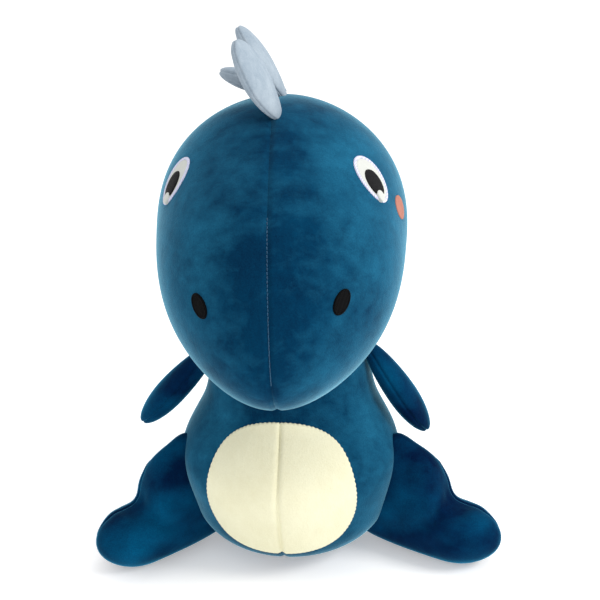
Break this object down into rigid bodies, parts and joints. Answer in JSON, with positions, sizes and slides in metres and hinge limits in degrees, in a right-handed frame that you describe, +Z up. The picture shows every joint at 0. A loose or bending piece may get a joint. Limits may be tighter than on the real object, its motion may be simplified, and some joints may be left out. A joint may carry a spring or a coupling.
{
  "type": "stuffed dinosaur",
  "caption": "Sitting plush dinosaur with a large drooping egg-shaped head, floppy crest, pale belly patch, short arms, splayed feet and a tail.",
  "frame": {"origin": "centre of the ground footprint's box, on the surface the toy sits on", "axes": "+Z up, the toy faces -Y, its own left side is +X"},
  "size_m": [0.2925, 0.3043, 0.3731],
  "materials": {
    "body_plush": "short velvety pile, matt with a soft sheen",
    "crest_plush": "short pale pile",
    "belly_plush": "short cream pile",
    "eye_white": "white velour",
    "satin_thread": "satin stitch",
    "black_thread": "filled embroidery",
    "cheek_velour": "salmon velour",
    "seam_thread": "sewing thread",
    "fibre_fill": "loose polyester fibre"
  },
  "bodies": {
    "body": {"body_cover_left": "body_plush", "body_cover_right": "body_plush", "body_filling": "fibre_fill", "belly_patch_left": "belly_plush", "belly_patch_right": "belly_plush", "back_crest_left_panels": "crest_plush", "back_crest_right_panels": "crest_plush", "back_crest_filling": "fibre_fill"},
    "neck": {"neck_seam": "seam_thread"},
    "head": {"head_cover_left": "body_plush", "head_cover_right": "body_plush", "head_filling": "fibre_fill", "eye_patch_left": "eye_white", "eye_patch_right": "eye_white", "eye_rim_left": "satin_thread", "eye_rim_right": "satin_thread", "pupil_left": "black_thread", "pupil_right": "black_thread", "nostril_left": "black_thread", "nostril_right": "black_thread", "cheek_patch_left": "cheek_velour", "cheek_patch_right": "cheek_velour"},
    "crest_1": {"crest_1_left_panel": "crest_plush", "crest_1_right_panel": "crest_plush", "crest_1_filling": "fibre_fill"},
    "crest_2": {"crest_2_left_panel": "crest_plush", "crest_2_right_panel": "crest_plush", "crest_2_filling": "fibre_fill"},
    "crest_3": {"crest_3_left_panel": "crest_plush", "crest_3_right_panel": "crest_plush", "crest_3_filling": "fibre_fill"},
    "arm_left": {"arm_left_inner_panel": "body_plush", "arm_left_outer_panel": "body_plush", "arm_left_filling": "fibre_fill"},
    "leg_left": {"leg_left_front_panel": "body_plush", "leg_left_back_panel": "body_plush", "leg_left_filling": "fibre_fill"},
    "arm_right": {"arm_right_inner_panel": "body_plush", "arm_right_outer_panel": "body_plush", "arm_right_filling": "fibre_fill"},
    "leg_right": {"leg_right_front_panel": "body_plush", "leg_right_back_panel": "body_plush", "leg_right_filling": "fibre_fill"},
    "tail": {"tail_cover_left": "body_plush", "tail_cover_right": "body_plush", "tail_filling": "fibre_fill", "tail_crest_left_panels": "crest_plush", "tail_crest_right_panels": "crest_plush", "tail_crest_filling": "fibre_fill"}
  },
  "joints": [
    {"name": "neck_turn", "type": "hinge", "parent": "body", "child": "neck", "pos_m": [0, -0.002, 0.161], "axis": [0, 0, 1], "range_deg": [-20, 20], "stiffness_Nm_per_rad": 3},
    {"name": "neck_nod", "type": "hinge", "parent": "neck", "child": "head", "pos_m": [0, -0.002, 0.161], "axis": [1, 0, 0], "range_deg": [-8, 2], "stiffness_Nm_per_rad": 5},
    {"name": "crest_1_flop", "type": "hinge", "parent": "head", "child": "crest_1", "pos_m": [0, -0.04616, 0.33005], "axis": [0, -0.9319, -0.3628], "range_deg": [-50, 8], "stiffness_Nm_per_rad": 0.05},
    {"name": "crest_2_flop", "type": "hinge", "parent": "head", "child": "crest_2", "pos_m": [0, 0.00278, 0.33244], "axis": [0, -0.9779, 0.2092], "range_deg": [-50, 8], "stiffness_Nm_per_rad": 0.05},
    {"name": "crest_3_flop", "type": "hinge", "parent": "head", "child": "crest_3", "pos_m": [0, 0.04642, 0.31587], "axis": [0, -0.8834, 0.4686], "range_deg": [-50, 8], "stiffness_Nm_per_rad": 0.05},
    {"name": "arm_left_lift", "type": "hinge", "parent": "body", "child": "arm_left", "pos_m": [0.0624, -0.009, 0.13932], "axis": [0, -1, 0], "range_deg": [-1, 70], "stiffness_Nm_per_rad": 0.25},
    {"name": "arm_right_lift", "type": "hinge", "parent": "body", "child": "arm_right", "pos_m": [-0.0624, -0.009, 0.13932], "axis": [0, 1, 0], "range_deg": [-10, 60], "stiffness_Nm_per_rad": 0.25},
    {"name": "leg_left_swing", "type": "hinge", "parent": "body", "child": "leg_left", "pos_m": [0.08044, -0.024, 0.03], "axis": [0, 0, 1], "range_deg": [-12, 12], "stiffness_Nm_per_rad": 1},
    {"name": "leg_right_swing", "type": "hinge", "parent": "body", "child": "leg_right", "pos_m": [-0.08044, -0.024, 0.03], "axis": [0, 0, -1], "range_deg": [-5, 14], "stiffness_Nm_per_rad": 1},
    {"name": "tail_wag", "type": "hinge", "parent": "body", "child": "tail", "pos_m": [0, 0.07466, 0.03201], "axis": [0, 0, 1], "range_deg": [-15, 15], "stiffness_Nm_per_rad": 1}
  ],
  "couplings": [
    {"joint": "crest_2_flop", "follows": "crest_1_flop", "ratio": 1},
    {"joint": "crest_3_flop", "follows": "crest_1_flop", "ratio": 1}
  ]
}
